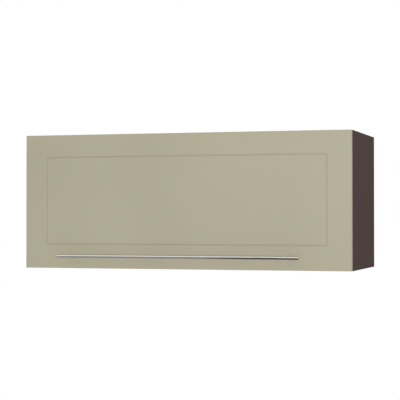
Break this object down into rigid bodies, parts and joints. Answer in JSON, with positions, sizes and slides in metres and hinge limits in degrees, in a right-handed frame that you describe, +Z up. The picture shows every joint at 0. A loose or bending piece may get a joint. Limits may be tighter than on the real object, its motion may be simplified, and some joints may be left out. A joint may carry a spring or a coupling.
{
  "type": "lift up wall cabinet",
  "caption": "Wide kitchen wall cabinet with a flap door that swings up on cup hinges and spring lift units, with a routed groove and a slim bar handle.",
  "frame": {"origin": "on the rear face of the back sheet, at the middle of its width and height", "axes": "+X to the cabinet's right as seen from the front, -Y out of the front, +Z up"},
  "size_m": [0.9, 0.389, 0.36],
  "materials": {
    "carcass_laminate": "dark brown laminated chipboard, satin",
    "door_finish": "matte beige film on fibreboard",
    "hardboard": "raw hardboard",
    "nickel_steel": "nickel plated steel",
    "zinc_steel": "zinc plated",
    "handle_steel": "brushed stainless steel",
    "grey_plastic": "moulded, matte",
    "bumper_rubber": "clear soft plastic"
  },
  "bodies": {
    "cabinet_body": {"side_panel_left": "carcass_laminate", "side_panel_right": "carcass_laminate", "top_panel": "carcass_laminate", "bottom_panel": "carcass_laminate", "back_panel": "hardboard", "cam_lock_top_front_left": "zinc_steel", "cam_lock_top_front_right": "zinc_steel", "cam_lock_top_rear_left": "zinc_steel", "cam_lock_top_rear_right": "zinc_steel", "cam_lock_bottom_front_left": "zinc_steel", "cam_lock_bottom_front_right": "zinc_steel", "cam_lock_bottom_rear_left": "zinc_steel", "cam_lock_bottom_rear_right": "zinc_steel", "cam_bolt_top_front_left": "zinc_steel", "cam_bolt_top_front_right": "zinc_steel", "cam_bolt_top_rear_left": "zinc_steel", "cam_bolt_top_rear_right": "zinc_steel", "cam_bolt_bottom_front_left": "zinc_steel", "cam_bolt_bottom_front_right": "zinc_steel", "cam_bolt_bottom_rear_left": "zinc_steel", "cam_bolt_bottom_rear_right": "zinc_steel", "wall_hanger_housing_left": "grey_plastic", "wall_hanger_housing_right": "grey_plastic", "wall_hanger_hook_left": "zinc_steel", "wall_hanger_hook_right": "zinc_steel", "wall_hanger_height_screw_left": "zinc_steel", "wall_hanger_height_screw_right": "zinc_steel", "wall_hanger_depth_screw_left": "zinc_steel", "wall_hanger_depth_screw_right": "zinc_steel", "hinge_mounting_plate_left": "nickel_steel", "hinge_mounting_plate_right": "nickel_steel", "hinge_arm_left": "nickel_steel", "hinge_arm_right": "nickel_steel", "lift_housing_left": "zinc_steel", "lift_housing_right": "zinc_steel", "lift_cover_left": "grey_plastic", "lift_cover_right": "grey_plastic", "lift_spring_left": "zinc_steel", "lift_spring_right": "zinc_steel"},
    "door": {"door_panel": "door_finish", "handle_bar": "handle_steel", "handle_post_left": "handle_steel", "handle_post_right": "handle_steel", "handle_screw_left": "zinc_steel", "handle_screw_right": "zinc_steel", "door_bumper_left": "bumper_rubber", "door_bumper_right": "bumper_rubber", "hinge_cup_left": "nickel_steel", "hinge_cup_right": "nickel_steel", "lift_door_bracket_left": "nickel_steel", "lift_door_bracket_right": "nickel_steel"},
    "inner_link_left": {"hinge_inner_link_left": "nickel_steel"},
    "inner_link_right": {"hinge_inner_link_right": "nickel_steel"},
    "outer_link_left": {"hinge_outer_link_left": "nickel_steel"},
    "outer_link_right": {"hinge_outer_link_right": "nickel_steel"},
    "lever_left": {"lift_lever_left": "nickel_steel"},
    "lever_right": {"lift_lever_right": "nickel_steel"},
    "link_arm_left": {"lift_link_arm_left": "nickel_steel"},
    "link_arm_right": {"lift_link_arm_right": "nickel_steel"}
  },
  "joints": [
    {"name": "door_lift", "type": "hinge", "parent": "cabinet_body", "child": "door", "pos_m": [0, -0.34, 0.175], "axis": [-1, 0, 0], "range_deg": [0, 95]},
    {"name": "lever_left_turn", "type": "hinge", "parent": "cabinet_body", "child": "lever_left", "pos_m": [-0.408, -0.23, 0.125], "axis": [-1, 0, 0], "range_deg": [0, 95]},
    {"name": "lever_right_turn", "type": "hinge", "parent": "cabinet_body", "child": "lever_right", "pos_m": [0.408, -0.23, 0.125], "axis": [-1, 0, 0], "range_deg": [0, 95]},
    {"name": "link_arm_left_turn", "type": "hinge", "parent": "lever_left", "child": "link_arm_left", "pos_m": [-0.4035, -0.20925, 0.04825], "axis": [-1, 0, 0], "range_deg": [-95, 0]},
    {"name": "link_arm_right_turn", "type": "hinge", "parent": "lever_right", "child": "link_arm_right", "pos_m": [0.4035, -0.20925, 0.04825], "axis": [-1, 0, 0], "range_deg": [-95, 0]},
    {"name": "inner_link_left_turn", "type": "hinge", "parent": "cabinet_body", "child": "inner_link_left", "pos_m": [-0.34, -0.3325, 0.157], "axis": [-1, 0, 0], "range_deg": [-38, 0]},
    {"name": "inner_link_right_turn", "type": "hinge", "parent": "cabinet_body", "child": "inner_link_right", "pos_m": [0.34, -0.3325, 0.157], "axis": [-1, 0, 0], "range_deg": [-38, 0]},
    {"name": "outer_link_left_turn", "type": "hinge", "parent": "cabinet_body", "child": "outer_link_left", "pos_m": [-0.34, -0.3285, 0.148], "axis": [-1, 0, 0], "range_deg": [-19, 0]},
    {"name": "outer_link_right_turn", "type": "hinge", "parent": "cabinet_body", "child": "outer_link_right", "pos_m": [0.34, -0.3285, 0.148], "axis": [-1, 0, 0], "range_deg": [-19, 0]}
  ],
  "couplings": [
    {"joint": "lever_left_turn", "follows": "door_lift", "ratio": 1},
    {"joint": "lever_right_turn", "follows": "door_lift", "ratio": 1},
    {"joint": "link_arm_left_turn", "follows": "door_lift", "ratio": -1},
    {"joint": "link_arm_right_turn", "follows": "door_lift", "ratio": -1},
    {"joint": "inner_link_left_turn", "follows": "door_lift", "ratio": -0.4},
    {"joint": "inner_link_right_turn", "follows": "door_lift", "ratio": -0.4},
    {"joint": "outer_link_left_turn", "follows": "door_lift", "ratio": -0.2},
    {"joint": "outer_link_right_turn", "follows": "door_lift", "ratio": -0.2}
  ]
}
